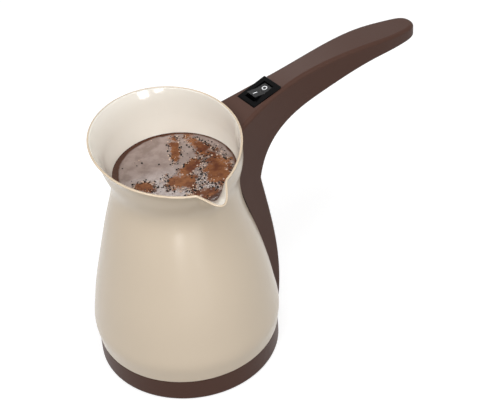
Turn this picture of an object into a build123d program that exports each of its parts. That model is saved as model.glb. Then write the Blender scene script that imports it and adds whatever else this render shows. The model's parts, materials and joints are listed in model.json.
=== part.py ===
"""Electric Turkish coffee maker: a cream pot on a brown base, with a long hollow handle.

The origin is the point of the table under the pot's axis, +Z is up, the handle points
along +X and the spout along -Y.  All lengths are millimetres, all angles are degrees.
"""
import os
from math import cos, radians, sin, tan

from build123d import *

os.makedirs("parts", exist_ok=True)

# ---------------------------------------------------------------- driving dimensions
# pot
pot_wall = 2.2                 # wall of the moulded pot
seam_height = 14.6             # top of the base ring, where the pot begins
seam_radius = 52.2
belly_height = 24.4
belly_radius = 53.7
waist_height = 45.4
waist_radius = 50.9
shoulder_height = 73.4
shoulder_radius = 44.7
throat_height = 103.4
throat_radius = 37.0
collar_lead = 4.0              # the collar starts with the slope of the shoulder
collar_ease = 0.8              # a little less steep
neck_height = 119.4
neck_radius = 35.4
neck_shift = 1.9               # the neck leans this far towards the handle
flare_height = 133.4
flare_radius = 38.6
rim_height = 147.7             # middle of the rim plane
rim_radius = 41.5
rim_shift = -1.6               # the rim leans this far away from the handle
rim_rise_back = 7.2            # the rim climbs away from the spout
rim_rise_handle = 1.6          # and a little towards the handle
# spout
spout_azimuth = -95.0
spout_reach = 13.0             # from the rim circle to the tip
spout_tip_radius = 4.0
spout_root_radius = 12.5
spout_depth = 30.0             # height of the channel below the rim
# heater seat inside the pot
ledge_height = 28.4            # underside of the ledge that the plate is clamped to
ledge_thickness = 2.6
plate_radius = 41.5
plate_opening_radius = 38.0
plate_thickness = 0.8
seal_thickness = 1.5
diffuser_radius = 33.0
diffuser_thickness = 3.0
clamp_thickness = 2.4
clamp_inner_radius = 36.5
clamp_outer_radius = 49.0
boss_circle = 44.9
boss_radius = 2.9
clamp_screw_count = 6
clamp_screw_turn = 0.0         # first clamp screw from +X
clamp_screw_length = 5.6
base_screw_count = 3
base_screw_turn = 30.0         # first base screw from +X
seal_inset = 0.3
screw_radius = 1.4
screw_head_radius = 2.5
screw_head_height = 1.5
screw_fit = 0.1                # radial room round a screw
# heating element
element_ring_radius = 25.5
element_tube_radius = 3.2
element_gap_angle = 50.0       # open part of the ring, on the -X side
element_tail_drop = 3.0
terminal_width = 6.3
terminal_thickness = 0.8
terminal_length = 5.0
# base
foot_drop = 0.8                # rubber feet stand this far below the base ring
foot_radius = 4.5
foot_sink = 1.0                # how deep a foot sits in the cover
foot_round = 0.6
foot_circle = 40.0
base_wall = 2.4
base_edge_round = 1.6
base_spigot_height = 3.0
base_spigot_wall = 1.6
base_fit = 0.3
cover_thickness = 2.4
cover_lift = 0.8               # cover above the ring's lower edge
base_head_sink = 1.6           # counterbore of the base screws
base_screw_length = 15.0
column_gap = 0.2
wire_notch_width = 17.0
wire_notch_height = 6.0
# power connector under the pot
socket_radius = 18.0
socket_wall = 2.0
socket_depth = 8.4
socket_flange_radius = 25.0
socket_flange_thickness = 1.8
socket_screw_circle = 22.6
socket_screw_count = 3
earth_pin_radius = 2.0
earth_shank_radius = 1.5       # thinner part of the pin, held in the housing
contact_ring_thickness = 0.6
neutral_ring_radius = 7.4
line_ring_radius = 13.0
contact_length = 6.6
contact_tab_height = 2.4
neutral_tab_angle = -90.0      # the line tab lies on +X, the neutral tab is turned away
contact_tab_radius = 1.1
# thermostat and fuse
thermostat_radius = 8.2
thermostat_height = 6.0
thermostat_gap = 0.3           # paste between the bimetal cap and the diffuser
thermostat_tab = 5.0
tab_embed = 0.5
fuse_radius = 2.0
fuse_length = 10.0
fuse_circle = 15.5
fuse_clip_wall = 0.5
fuse_clip_width = 4.0
fuse_lead_radius = 0.5
fuse_lead_length = 5.0
# handle
handle_wall = 2.0
handle_fit = 0.15              # between handle and pot
handle_root_x = 30.0             # inside the pot, whose shape cuts the root
handle_foot_height = 2.0
handle_length = 173.5          # tip of the handle from the pot's axis
spine_plan_x = 55.4
waist_x = 84.0
crest_x = 102.0
grip_x = 138.0
tip_x = 163.0
tip_half_width = 8.3
kink_x = 51.3                  # where the underside turns down into the spine
kink_height = 99.4
spine_mid_x = 57.8
spine_mid_height = 65.4
spine_belly_x = 61.4
spine_belly_height = 31.4
spine_foot_x = 59.2
switch_depth = 28.6            # handle depth under the switch, the crest and the grip
crest_depth = 18.4
grip_depth = 11.2
root_rise = -8.8               # handle top against the rim height
switch_rise = -1.0
crest_rise = 3.3
grip_rise = 2.1
tip_rise = -1.2
tip_height = 8.6
tip_dip = 1.0                  # the top still falls a little beyond the tip
root_half_width = 16.6
spine_half_width = 10.9
waist_half_width = 7.7
grip_half_width = 10.1
handle_top_round = 2.0
handle_under_round = 1.6
cover_fit = 0.2
cover_end_x = 152.0            # the cover stops short of the tip
cover_foot_wall = 4.0          # and of the foot
handle_screw_low = 30.0        # heights of the two screws that hold the handle
handle_screw_high = 108.0
handle_boss_radius = 3.4
handle_boss_low_end = 55.2
handle_boss_high_end = 41.5
handle_pilot_depth = 5.0
web_thickness = 2.2
web_height = 9.0
web_side = 3.6                 # the webs leave the -Y side free for the wires
cover_screw_height = 66.0      # screw of the cover in the spine
cover_screw_x = 118.0          # and in the arm
cover_screw_length = 5.0
cover_head_height = 1.2
rib_thickness = 5.0
arm_under_drop = 11.4          # underside of the arm at its screw, below the rim
# switch in the handle
switch_x = 62.2
switch_slope = 13.8
bezel_length = 19.8
bezel_width = 14.8
bezel_thickness = 1.3
bezel_sink = 0.5
bezel_round = 0.5
housing_length = 17.0
housing_width = 11.6
housing_depth = 12.6
housing_floor = 1.4
housing_fit = 0.2
well_length = 14.2
well_width = 8.0
rocker_length = 12.4
rocker_width = 7.3
rocker_rise = 1.9              # ends of the rocker above the seat at mid travel
rocker_dip = 0.9               # middle of the rocker below its ends
rocker_depth = 4.2
rocker_foot_length = 8.6
rocker_tilt = 12.0             # off position, from mid travel
pivot_depth = 1.2
pivot_radius = 0.9
pivot_fit = 0.15
plunger_radius = 0.9
plunger_reach = 5.4            # tip of the plunger from the pivot
plunger_length = 2.4
spring_wire_radius = 0.15
spring_turns = 4
lever_gap = 0.35
lever_length = 9.6
lever_width = 3.2
lever_thickness = 0.6
lever_tilt = 8.0
blade_width = 4.8
blade_thickness = 0.8
blade_length = 4.5
blade_round = 0.35             # the lever rocks on a rounded edge
contact_x = 3.8                # fixed contact, on the side away from the pot
guide_radius = 1.7
guide_length = 2.2
bore_depth = 0.9
# wires
wire_radius = 1.0
wire_arc_share = 0.45          # of a run that the arc at its end may take
earth_wire_turns = ((1.0, 0.7), (1.6, 1.4), (1.7, 1.6))  # in radii of the thermostat
fuse_wire_turn = 0.8           # in radii of the fuse's circle
end_gap = 0.4
blade_offset = 2.6             # the two wires end on opposite halves of their blades
wire_lead = 3.6                # last straight piece, up to a blade
riser_rise = 8.0
riser_inset = 5.4              # middle of the wires inside the spine's outer face
switched_wire_y = -5.0
line_wire_y = -7.4

# ---------------------------------------------------------------- worked-out places
ring_bottom = foot_drop
cover_bottom = ring_bottom + cover_lift
cover_top = cover_bottom + cover_thickness
cover_radius = seam_radius - base_wall - base_fit
seal_bottom = ledge_height - seal_thickness
plate_bottom = seal_bottom - plate_thickness
clamp_bottom = plate_bottom - clamp_thickness
diffuser_bottom = plate_bottom - diffuser_thickness
element_height = diffuser_bottom - element_tube_radius
thermostat_bottom = diffuser_bottom - thermostat_gap - thermostat_height
clamp_boss_bottom = clamp_bottom + clamp_thickness
base_boss_bottom = seam_height + base_spigot_height
spigot_radius = seam_radius - pot_wall - base_fit
ring_inner_height = seam_height - ring_bottom - base_wall
wire_notch_bottom = cover_top + base_fit
neutral_tab_circle = neutral_ring_radius - contact_ring_thickness / 2
line_tab_circle = line_ring_radius - contact_ring_thickness / 2
handle_screw_heights = (handle_screw_low, handle_screw_high)
boss_ends = {handle_screw_low: handle_boss_low_end, handle_screw_high: handle_boss_high_end}
handle_boss_start = neck_radius - 2 * pot_wall
cover_head_x = spine_mid_x - cover_head_height
arm_cover_bottom = rim_height - arm_under_drop
arm_cover_top = arm_cover_bottom + handle_wall
arm_head_height = arm_cover_bottom + cover_head_height
web_places = (
    (handle_screw_low, handle_boss_low_end, web_thickness),
    (handle_screw_high, handle_boss_high_end, web_thickness),
    (cover_screw_height, spine_mid_x - handle_wall - cover_fit - rib_thickness, rib_thickness),
)
pilot_radius = screw_radius + screw_fit

rim_plane = Plane(
    origin=(rim_shift, 0, rim_height),
    x_dir=(cos(radians(rim_rise_handle)), 0, sin(radians(rim_rise_handle))),
    z_dir=(-sin(radians(rim_rise_handle)), -sin(radians(rim_rise_back)), 1),
)
switch_plane = Plane(
    origin=(switch_x, 0, rim_height + switch_rise - bezel_sink),
    x_dir=(cos(radians(switch_slope)), 0, sin(radians(switch_slope))),
    z_dir=(-sin(radians(switch_slope)), 0, cos(radians(switch_slope))),
)
pivot_plane = switch_plane.offset(-pivot_depth)
rocker_plane = pivot_plane.rotated((0, rocker_tilt, 0))
pivot_side = Plane(origin=pivot_plane.origin, x_dir=pivot_plane.x_dir, z_dir=(0, -1, 0))
rocker_side = Plane(origin=rocker_plane.origin, x_dir=rocker_plane.x_dir, z_dir=(0, -1, 0))
rocker_top = rocker_rise + pivot_depth
rocker_bottom = rocker_top - rocker_dip - rocker_depth
lever_foot = -pivot_depth - plunger_reach - lever_gap - lever_thickness
lever_plane = switch_plane.offset(lever_foot).rotated((0, -lever_tilt, 0))
contact_top = lever_foot - contact_x * sin(radians(lever_tilt)) - lever_gap

clamp_spots = PolarLocations(boss_circle, clamp_screw_count, clamp_screw_turn)
base_spots = PolarLocations(boss_circle, base_screw_count, base_screw_turn)


def belly_profile(growth):
    """Half outline of the round lower pot, to be turned about Z."""
    with BuildSketch(Plane.XZ) as profile:
        with BuildLine():
            side = Spline(
                (seam_radius + growth, seam_height),
                (belly_radius + growth, belly_height),
                (waist_radius + growth, waist_height),
                (shoulder_radius + growth, shoulder_height),
                (throat_radius + growth, throat_height),
                (neck_radius + growth, neck_height),
            )
            Polyline(side @ 1, (0, neck_height), (0, seam_height), side @ 0)
        make_face()
        with Locations((0, throat_height)):
            Rectangle(4 * belly_radius, throat_height, align=(Align.CENTER, Align.MIN),
                      mode=Mode.SUBTRACT)
    return profile.sketch


def collar_sections(growth):
    """Circles from the throat to the rim plane, each wider than the pot by growth."""
    slope = (throat_radius - shoulder_radius) / (throat_height - shoulder_height)
    stations = (
        (throat_height, throat_radius, 0),
        (throat_height + collar_lead, throat_radius + collar_lead * slope * collar_ease, 0),
        (neck_height, neck_radius, neck_shift),
        (flare_height, flare_radius, neck_shift / 2),
    )
    sections = []
    for height, radius, shift in stations:
        with BuildSketch(Plane((shift, 0, height))) as section:
            Circle(radius + growth)
        sections.append(section.sketch)
    with BuildSketch(rim_plane) as section:
        Circle(rim_radius + growth)
    sections.append(section.sketch)
    return sections


def spout_sections(growth):
    """Two rounded wedges: the lip in the rim plane and the channel's foot in the neck."""
    with BuildSketch(rim_plane) as lip:
        with PolarLocations(rim_radius + spout_reach - spout_tip_radius, 1, spout_azimuth):
            Circle(spout_tip_radius + growth)
        with PolarLocations(rim_radius - spout_root_radius, 1, spout_azimuth):
            Circle(spout_root_radius + growth)
        make_hull()
    with BuildSketch(rim_plane.offset(-spout_depth)) as foot:
        with PolarLocations(neck_radius - pot_wall - 2 * spout_tip_radius, 1, spout_azimuth):
            Circle(spout_tip_radius + growth)
        with PolarLocations(neck_radius - pot_wall - 3 * spout_tip_radius, 1, spout_azimuth):
            Circle(spout_tip_radius + growth)
        make_hull()
    return [foot.sketch, lip.sketch]


def handle_side(inset):
    """Side view of the handle; inset moves every edge inwards."""
    root_z = rim_height + root_rise - inset
    switch_z = rim_height + switch_rise - inset
    crest_z = rim_height + crest_rise - inset
    grip_z = rim_height + grip_rise - inset
    tip_z = rim_height + tip_rise - inset
    with BuildSketch(Plane.XZ.offset(-root_half_width)) as side:
        with BuildLine():
            top = Spline(
                (handle_root_x + inset, root_z),
                (switch_x, switch_z),
                (crest_x, crest_z),
                (grip_x, grip_z),
                (tip_x, tip_z),
                (handle_length + tip_height, tip_z - tip_dip),
            )
            tip = Line(top @ 1, (handle_length + tip_height, tip_z + 2 * inset - tip_height))
            under = Spline(
                tip @ 1,
                (tip_x, tip_z + 2 * inset - tip_height),
                (grip_x, grip_z + 2 * inset - grip_depth),
                (crest_x, crest_z + 2 * inset - crest_depth),
                (switch_x - inset / 2, switch_z + 2 * inset - switch_depth),
                (kink_x - inset, kink_height + inset / 2),
            )
            spine = Spline(
                under @ 1,
                (spine_mid_x - inset, spine_mid_height),
                (spine_belly_x - inset, spine_belly_height),
                (spine_foot_x - inset, handle_foot_height + inset),
            )
            Polyline(spine @ 1, (handle_root_x + inset, handle_foot_height + inset), top @ 0)
        make_face()
    return side.sketch


def handle_plan(inset):
    """Top view of the handle; inset makes it narrower on both sides."""
    with BuildSketch(Plane.XY) as plan:
        with BuildLine():
            edge = Spline(
                (handle_root_x, root_half_width - inset),
                (spine_plan_x, spine_half_width - inset),
                (waist_x, waist_half_width - inset),
                (grip_x, grip_half_width - inset),
                (tip_x - inset, tip_half_width - inset / 2),
                (handle_length - inset, 0),
                tangents=[(1, -0.25), (0, -1)],
            )
            Line(edge @ 0, (handle_root_x, 0))
            mirror(about=Plane.XZ)
        make_face()
    return plan.sketch


def wire_path(points):
    """Straight runs over the points, joined by arcs as large as the runs allow."""
    runs = [Vector(*end) - Vector(*start) for start, end in zip(points, points[1:])]
    radii = [
        wire_arc_share * min(run.length, after.length) / tan(radians(run.get_angle(after) / 2))
        for run, after in zip(runs, runs[1:])
    ]
    with BuildLine() as path:
        FilletPolyline(*points, radius=radii)
    return path.line


# ---------------------------------------------------------------- pot
with BuildPart() as pot_body:
    revolve(belly_profile(0))
    loft(sections=collar_sections(0))
    loft(sections=spout_sections(0))
    # radial bosses that the handle is screwed to
    for boss_height in handle_screw_heights:
        with BuildSketch(Plane.YZ.offset(handle_boss_start)):
            with Locations((0, boss_height)):
                Circle(handle_boss_radius)
        extrude(amount=boss_ends[boss_height] - handle_boss_start)
    revolve(belly_profile(-pot_wall), mode=Mode.SUBTRACT)
    loft(sections=collar_sections(-pot_wall), mode=Mode.SUBTRACT)
    loft(sections=spout_sections(-pot_wall), mode=Mode.SUBTRACT)
    # ledge over the heater plate
    with BuildSketch(Plane.XY.offset(ledge_height)):
        Circle(belly_radius - pot_wall / 2)
        Circle(plate_opening_radius, mode=Mode.SUBTRACT)
    extrude(amount=ledge_thickness)
    # bosses under the ledge for the clamp ring and, longer, for the base
    with BuildSketch(Plane.XY.offset(ledge_height)):
        with clamp_spots:
            Circle(boss_radius)
    extrude(amount=clamp_boss_bottom - ledge_height)
    with BuildSketch(Plane.XY.offset(ledge_height)):
        with base_spots:
            Circle(boss_radius)
    extrude(amount=base_boss_bottom - ledge_height)
    with BuildSketch(Plane.XY.offset(base_boss_bottom)):
        with clamp_spots:
            Circle(pilot_radius)
        with base_spots:
            Circle(pilot_radius)
    extrude(amount=ledge_height + ledge_thickness / 2 - base_boss_bottom, mode=Mode.SUBTRACT)
    for boss_height in handle_screw_heights:
        with BuildSketch(Plane.YZ.offset(boss_ends[boss_height])):
            with Locations((0, boss_height)):
                Circle(pilot_radius)
        extrude(amount=-handle_pilot_depth, mode=Mode.SUBTRACT)
pot_body.part.label = "pot_body"
export_step(pot_body.part, "parts/pot_body.step")

# the pot's outside with the handle's room round it, used to cut the handle
with BuildPart() as pot_room:
    revolve(belly_profile(handle_fit))
    loft(sections=collar_sections(handle_fit))
    with BuildSketch(Plane.XY):
        Circle(seam_radius + handle_fit)
    extrude(amount=seam_height)

# ---------------------------------------------------------------- heater
with BuildPart() as plate_seal:
    with BuildSketch(Plane.XY.offset(seal_bottom)):
        Circle(plate_radius)
        Circle(plate_opening_radius + seal_inset, mode=Mode.SUBTRACT)
    extrude(amount=seal_thickness)
plate_seal.part.label = "plate_seal"
export_step(plate_seal.part, "parts/plate_seal.step")

with BuildPart() as heater_plate:
    with BuildSketch(Plane.XY.offset(plate_bottom)):
        Circle(plate_radius)
    extrude(amount=plate_thickness)
heater_plate.part.label = "heater_plate"
export_step(heater_plate.part, "parts/heater_plate.step")

with BuildPart() as diffuser_plate:
    with BuildSketch(Plane.XY.offset(diffuser_bottom)):
        Circle(diffuser_radius)
    extrude(amount=diffuser_thickness)
    edge = diffuser_plate.edges().filter_by(GeomType.CIRCLE).group_by(Axis.Z)[0]
    chamfer(edge, length=diffuser_thickness / 3)
diffuser_plate.part.label = "diffuser_plate"
export_step(diffuser_plate.part, "parts/diffuser_plate.step")

with BuildPart() as clamp_ring:
    with BuildSketch(Plane.XY.offset(clamp_bottom)):
        Circle(clamp_outer_radius)
        Circle(clamp_inner_radius, mode=Mode.SUBTRACT)
        with clamp_spots:
            Circle(screw_radius + screw_fit, mode=Mode.SUBTRACT)
        with base_spots:
            Circle(boss_radius + base_fit, mode=Mode.SUBTRACT)
    extrude(amount=clamp_thickness)
clamp_ring.part.label = "clamp_ring"
export_step(clamp_ring.part, "parts/clamp_ring.step")

with BuildPart() as clamp_screws:
    with BuildSketch(Plane.XY.offset(clamp_bottom)):
        with clamp_spots:
            Circle(screw_radius)
    extrude(amount=clamp_screw_length)
    with BuildSketch(Plane.XY.offset(clamp_bottom)):
        with clamp_spots:
            Circle(screw_head_radius)
    extrude(amount=-screw_head_height)
clamp_screws.part.label = "clamp_screws"
export_step(clamp_screws.part, "parts/clamp_screws.step")

element_start = 180 + element_gap_angle / 2
element_sweep = 360 - element_gap_angle
with BuildPart() as heating_element:
    with BuildLine(Plane.XY.offset(element_height)):
        ring = CenterArc((0, 0), element_ring_radius, element_start, element_sweep)
    with BuildSketch(Plane(origin=ring @ 0, z_dir=ring % 0)):
        Circle(element_tube_radius)
    sweep()
    for end in (ring @ 0, ring @ 1):
        with BuildSketch(Plane.XY.offset(element_height)):
            with Locations((end.X, end.Y)):
                Circle(element_tube_radius)
        extrude(amount=-element_tube_radius - element_tail_drop)
heating_element.part.label = "heating_element"
export_step(heating_element.part, "parts/heating_element.step")

with BuildPart() as element_terminals:
    for end in (ring @ 0, ring @ 1):
        with BuildSketch(Plane.XY.offset(element_height - element_tube_radius - element_tail_drop)):
            with Locations((end.X, end.Y)):
                Rectangle(terminal_thickness, terminal_width)
        extrude(amount=-terminal_length)
element_terminals.part.label = "element_terminals"
export_step(element_terminals.part, "parts/element_terminals.step")

with BuildPart() as thermostat:
    with BuildSketch(Plane.XY.offset(thermostat_bottom)):
        Circle(thermostat_radius)
    extrude(amount=thermostat_height)
    edge = thermostat.edges().filter_by(GeomType.CIRCLE).group_by(Axis.Z)[-1]
    chamfer(edge, length=thermostat_height / 6)
    with BuildSketch(Plane.XY.offset(thermostat_bottom + thermostat_height / 3)):
        with PolarLocations(thermostat_radius + thermostat_tab / 2 - tab_embed, 2, 90):
            Rectangle(thermostat_tab + 2 * tab_embed, terminal_width)
    extrude(amount=terminal_thickness)
thermostat.part.label = "thermostat"
export_step(thermostat.part, "parts/thermostat.step")

fuse_height = diffuser_bottom - fuse_radius - fuse_clip_wall
with BuildPart() as thermal_fuse:
    with BuildSketch(Plane.XZ.offset(-fuse_length / 2)):
        with Locations((fuse_circle, fuse_height)):
            Circle(fuse_radius)
    extrude(amount=fuse_length)
    with BuildSketch(Plane.XZ.offset(-fuse_length / 2 - fuse_lead_length)):
        with Locations((fuse_circle, fuse_height)):
            Circle(fuse_lead_radius)
    extrude(amount=fuse_length + 2 * fuse_lead_length)
thermal_fuse.part.label = "thermal_fuse"
export_step(thermal_fuse.part, "parts/thermal_fuse.step")

with BuildPart() as fuse_clip:
    with BuildSketch(Plane.XZ.offset(-fuse_clip_width / 2)):
        with Locations((fuse_circle, fuse_height)):
            Rectangle(2 * fuse_radius + 3 * fuse_clip_wall, 2 * fuse_radius + 2 * fuse_clip_wall)
            Circle(fuse_radius + fuse_clip_wall / 4, mode=Mode.SUBTRACT)
    extrude(amount=fuse_clip_width)
fuse_clip.part.label = "fuse_clip"
export_step(fuse_clip.part, "parts/fuse_clip.step")

# ---------------------------------------------------------------- base
with BuildPart() as base_ring:
    with BuildSketch(Plane.XY.offset(ring_bottom)):
        Circle(seam_radius)
    extrude(amount=seam_height - ring_bottom)
    edge = base_ring.edges().filter_by(GeomType.CIRCLE).group_by(Axis.Z)[0]
    fillet(edge, radius=base_edge_round)
    with BuildSketch(Plane.XY.offset(seam_height)):
        Circle(spigot_radius)
    extrude(amount=base_spigot_height)
    with BuildSketch(Plane.XY.offset(ring_bottom)):
        Circle(seam_radius - base_wall)
    extrude(amount=ring_inner_height, mode=Mode.SUBTRACT)
    with BuildSketch(Plane.XY.offset(ring_bottom)):
        Circle(spigot_radius - base_spigot_wall)
    extrude(amount=seam_height + base_spigot_height, mode=Mode.SUBTRACT)
    # notch for the wires that go up the handle
    with BuildSketch(Plane.YZ.offset(seam_radius - 2 * base_wall)):
        with Locations((0, wire_notch_bottom)):
            Rectangle(wire_notch_width, wire_notch_height, align=(Align.CENTER, Align.MIN))
    extrude(amount=4 * base_wall, mode=Mode.SUBTRACT)
base_ring.part.label = "base_ring"
export_step(base_ring.part, "parts/base_ring.step")

with BuildPart() as bottom_cover:
    with BuildSketch(Plane.XY.offset(cover_bottom)):
        Circle(cover_radius)
        Circle(socket_radius + socket_wall + base_fit, mode=Mode.SUBTRACT)
        with base_spots:
            Circle(screw_radius + screw_fit, mode=Mode.SUBTRACT)
        with PolarLocations(socket_screw_circle, socket_screw_count):
            Circle(screw_radius + screw_fit, mode=Mode.SUBTRACT)
    extrude(amount=cover_thickness)
    # columns that carry the base screws up to the pot's bosses
    with BuildSketch(Plane.XY.offset(cover_top)):
        with base_spots:
            Circle(boss_radius)
            Circle(screw_radius + screw_fit, mode=Mode.SUBTRACT)
    extrude(amount=base_boss_bottom - cover_top - column_gap)
    with BuildSketch(Plane.XY.offset(cover_bottom)):
        with base_spots:
            Circle(screw_head_radius + base_fit)
    extrude(amount=base_head_sink, mode=Mode.SUBTRACT)
    with BuildSketch(Plane.XY.offset(cover_bottom)):
        with PolarLocations(foot_circle, base_screw_count):
            Circle(foot_radius + screw_fit)
    extrude(amount=foot_sink, mode=Mode.SUBTRACT)
bottom_cover.part.label = "bottom_cover"
export_step(bottom_cover.part, "parts/bottom_cover.step")

with BuildPart() as base_screws:
    with BuildSketch(Plane.XY.offset(cover_bottom + base_head_sink)):
        with base_spots:
            Circle(screw_radius)
    extrude(amount=base_screw_length)
    with BuildSketch(Plane.XY.offset(cover_bottom + base_head_sink)):
        with base_spots:
            Circle(screw_head_radius)
    extrude(amount=-screw_head_height)
base_screws.part.label = "base_screws"
export_step(base_screws.part, "parts/base_screws.step")

with BuildPart() as rubber_feet:
    with BuildSketch(Plane.XY):
        with PolarLocations(foot_circle, base_screw_count):
            Circle(foot_radius)
    extrude(amount=cover_bottom + foot_sink)
    edge = rubber_feet.edges().filter_by(GeomType.CIRCLE).group_by(Axis.Z)[0]
    fillet(edge, radius=foot_round)
rubber_feet.part.label = "rubber_feet"
export_step(rubber_feet.part, "parts/rubber_feet.step")

# ---------------------------------------------------------------- power connector
with BuildPart() as connector_housing:
    with BuildSketch(Plane.XY.offset(cover_bottom)):
        Circle(socket_radius + socket_wall)
    extrude(amount=socket_depth + socket_wall)
    with BuildSketch(Plane.XY.offset(cover_top)):
        Circle(socket_flange_radius)
    extrude(amount=socket_flange_thickness)
    with BuildSketch(Plane.XY.offset(cover_bottom)):
        Circle(socket_radius)
    extrude(amount=socket_depth, mode=Mode.SUBTRACT)
    # room for the pin, the two rings and the screws
    with BuildSketch(Plane.XY.offset(cover_bottom)):
        Circle(earth_shank_radius)
        with PolarLocations(neutral_tab_circle, 1, neutral_tab_angle):
            Circle(contact_tab_radius + screw_fit)
        with PolarLocations(line_tab_circle, 1):
            Circle(contact_tab_radius + screw_fit)
        with PolarLocations(socket_screw_circle, socket_screw_count):
            Circle(screw_radius + screw_fit)
    extrude(amount=socket_depth + 2 * socket_wall, mode=Mode.SUBTRACT)
connector_housing.part.label = "connector_housing"
export_step(connector_housing.part, "parts/connector_housing.step")

with BuildPart() as connector_screws:
    with BuildSketch(Plane.XY.offset(cover_bottom + base_fit)):
        with PolarLocations(socket_screw_circle, socket_screw_count):
            Circle(screw_radius)
    extrude(amount=cover_thickness + socket_flange_thickness - base_fit)
    with BuildSketch(Plane.XY.offset(cover_top + socket_flange_thickness)):
        with PolarLocations(socket_screw_circle, socket_screw_count):
            Circle(screw_head_radius)
    extrude(amount=screw_head_height)
connector_screws.part.label = "connector_screws"
export_step(connector_screws.part, "parts/connector_screws.step")

contact_bottom = cover_bottom + socket_depth - contact_length
with BuildPart() as earth_pin:
    with BuildSketch(Plane.XY.offset(contact_bottom)):
        Circle(earth_pin_radius)
    extrude(amount=contact_length)
    with BuildSketch(Plane.XY.offset(contact_bottom)):
        Circle(earth_shank_radius)
    extrude(amount=contact_length + socket_wall + contact_tab_height)
    edge = earth_pin.edges().filter_by(GeomType.CIRCLE).group_by(Axis.Z)[0]
    chamfer(edge, length=earth_pin_radius / 2)
earth_pin.part.label = "earth_pin"
export_step(earth_pin.part, "parts/earth_pin.step")

contact_rings = (
    ("neutral_ring", neutral_ring_radius, neutral_tab_circle, neutral_tab_angle),
    ("line_ring", line_ring_radius, line_tab_circle, 0),
)
for name, ring_radius, tab_circle, tab_angle in contact_rings:
    with BuildPart() as contact_ring:
        with BuildSketch(Plane.XY.offset(contact_bottom)):
            Circle(ring_radius)
            Circle(ring_radius - contact_ring_thickness, mode=Mode.SUBTRACT)
        extrude(amount=contact_length)
        with BuildSketch(Plane.XY.offset(contact_bottom + contact_length / 2)):
            with PolarLocations(tab_circle, 1, tab_angle):
                Circle(contact_tab_radius)
        extrude(amount=contact_length / 2 + socket_wall + contact_tab_height)
    contact_ring.part.label = name
    export_step(contact_ring.part, f"parts/{name}.step")

# ---------------------------------------------------------------- handle
with BuildSketch(Plane.XZ.offset(-root_half_width)) as cover_band:
    add(handle_side(0))
    add(handle_side(handle_wall), mode=Mode.SUBTRACT)
    with BuildLine():
        Polyline(
            (cover_end_x, handle_foot_height + cover_foot_wall),
            (cover_end_x, rim_height + tip_rise - tip_height / 2),
            (crest_x, rim_height + crest_rise - crest_depth / 2),
            (switch_x, rim_height + switch_rise - switch_depth / 2),
            (kink_x - 2 * handle_wall, kink_height + 2 * handle_wall),
            (spine_mid_x - 2 * handle_wall, spine_mid_height),
            (spine_foot_x - 2 * handle_wall, handle_foot_height + cover_foot_wall),
            close=True,
        )
    make_face(mode=Mode.INTERSECT)

with BuildPart() as handle_cavity:
    extrude(handle_side(handle_wall), amount=2 * root_half_width)
    # webs that stay in the shell: two for the handle screws, one for the cover screw
    for height, start, thickness in web_places:
        with BuildSketch(Plane.YZ.offset(start)):
            with Locations((-web_side, height)):
                Rectangle(2 * root_half_width, web_height, align=(Align.MIN, Align.CENTER))
        extrude(amount=thickness, mode=Mode.SUBTRACT)
    # post in the arm for the other cover screw
    with BuildSketch(Plane.XY.offset(arm_cover_top + cover_fit)):
        with Locations((cover_screw_x, 0)):
            Circle(handle_boss_radius)
    extrude(amount=2 * arm_under_drop, mode=Mode.SUBTRACT)
    extrude(cover_band.sketch, amount=2 * root_half_width)
    extrude(handle_plan(handle_wall), amount=2 * rim_height, mode=Mode.INTERSECT)

with BuildPart() as handle_shell:
    extrude(handle_side(0), amount=2 * root_half_width)
    extrude(handle_plan(0), amount=2 * rim_height, mode=Mode.INTERSECT)
    long_edges = handle_shell.edges().filter_by(lambda e: e.length > kink_height / 2)
    creases = long_edges.filter_by(GeomType.BSPLINE).sort_by(Axis.Z)
    fillet(creases[:-1], radius=handle_under_round)
    crest = handle_shell.edges().filter_by(GeomType.BSPLINE).sort_by(Axis.Z)[-1]
    fillet(crest, radius=handle_top_round)
    add(handle_cavity.part, mode=Mode.SUBTRACT)
    add(pot_room.part, mode=Mode.SUBTRACT)
    # seat and hole of the switch
    with BuildSketch(switch_plane):
        Rectangle(bezel_length + 2 * housing_fit, bezel_width + 2 * housing_fit)
    extrude(amount=2 * handle_wall, mode=Mode.SUBTRACT)
    with BuildSketch(switch_plane):
        Rectangle(housing_length + 2 * housing_fit, housing_width + 2 * housing_fit)
    extrude(amount=-2 * handle_wall, mode=Mode.SUBTRACT)
    # screw holes in the webs and in the post
    for height, start, thickness in web_places:
        with BuildSketch(Plane.YZ.offset(start)):
            with Locations((0, height)):
                Circle(pilot_radius)
        extrude(amount=thickness, mode=Mode.SUBTRACT)
    with BuildSketch(Plane.XY.offset(arm_cover_top)):
        with Locations((cover_screw_x, 0)):
            Circle(pilot_radius)
    extrude(amount=cover_screw_length, mode=Mode.SUBTRACT)
handle_shell.part.label = "handle_shell"
export_step(handle_shell.part, "parts/handle_shell.step")

with BuildPart() as handle_cover:
    extrude(cover_band.sketch, amount=2 * root_half_width)
    extrude(handle_plan(handle_wall + cover_fit), amount=2 * rim_height, mode=Mode.INTERSECT)
    add(pot_room.part, mode=Mode.SUBTRACT)
    for radius, depth in ((pilot_radius, 2 * handle_wall), (screw_head_radius + cover_fit, 0)):
        with BuildSketch(Plane.YZ.offset(cover_head_x - depth)):
            with Locations((0, cover_screw_height)):
                Circle(radius)
        extrude(amount=depth + 2 * handle_wall, mode=Mode.SUBTRACT)
        with BuildSketch(Plane.XY.offset(arm_head_height + depth)):
            with Locations((cover_screw_x, 0)):
                Circle(radius)
        extrude(amount=-depth - 2 * handle_wall, mode=Mode.SUBTRACT)
handle_cover.part.label = "handle_cover"
export_step(handle_cover.part, "parts/handle_cover.step")

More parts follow.
